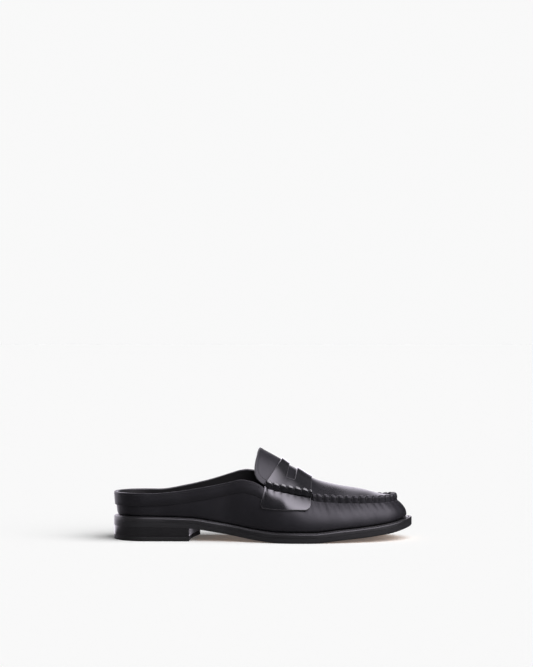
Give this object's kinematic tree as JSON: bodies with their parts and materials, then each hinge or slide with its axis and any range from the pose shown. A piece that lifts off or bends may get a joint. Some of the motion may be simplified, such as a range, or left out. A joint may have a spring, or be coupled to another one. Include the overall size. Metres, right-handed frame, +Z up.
{
  "type": "penny loafer mule",
  "caption": "Right-foot leather loafer mule: low open back, hand-sewn apron with tongue, strap with a slot, welted thin sole, low heel.",
  "frame": {"origin": "middle of the shoe's length and width, on the floor that it stands on", "axes": "+X towards the toe, +Y towards the inner (medial) side of the right foot, +Z up"},
  "size_m": [0.268, 0.0934, 0.0816],
  "materials": {
    "upper_leather": "smooth black calf, satin",
    "strap_leather": "polished black leather, high gloss",
    "band_leather": "smooth black calf, satin",
    "insole_leather": "black lining leather, matte",
    "welt_leather": "black edge-inked leather, satin",
    "sole_leather": "natural tan sole leather, lightly polished, edge inked black",
    "heel_leather": "stacked leather, inked black and burnished",
    "heel_rubber": "black rubber, matte"
  },
  "bodies": {
    "root": {"upper": "upper_leather", "saddle": "strap_leather", "collar_band": "band_leather", "insole": "insole_leather", "welt": "welt_leather", "outsole": "sole_leather", "heel": "heel_leather", "top_lift": "heel_rubber"}
  },
  "joints": []
}
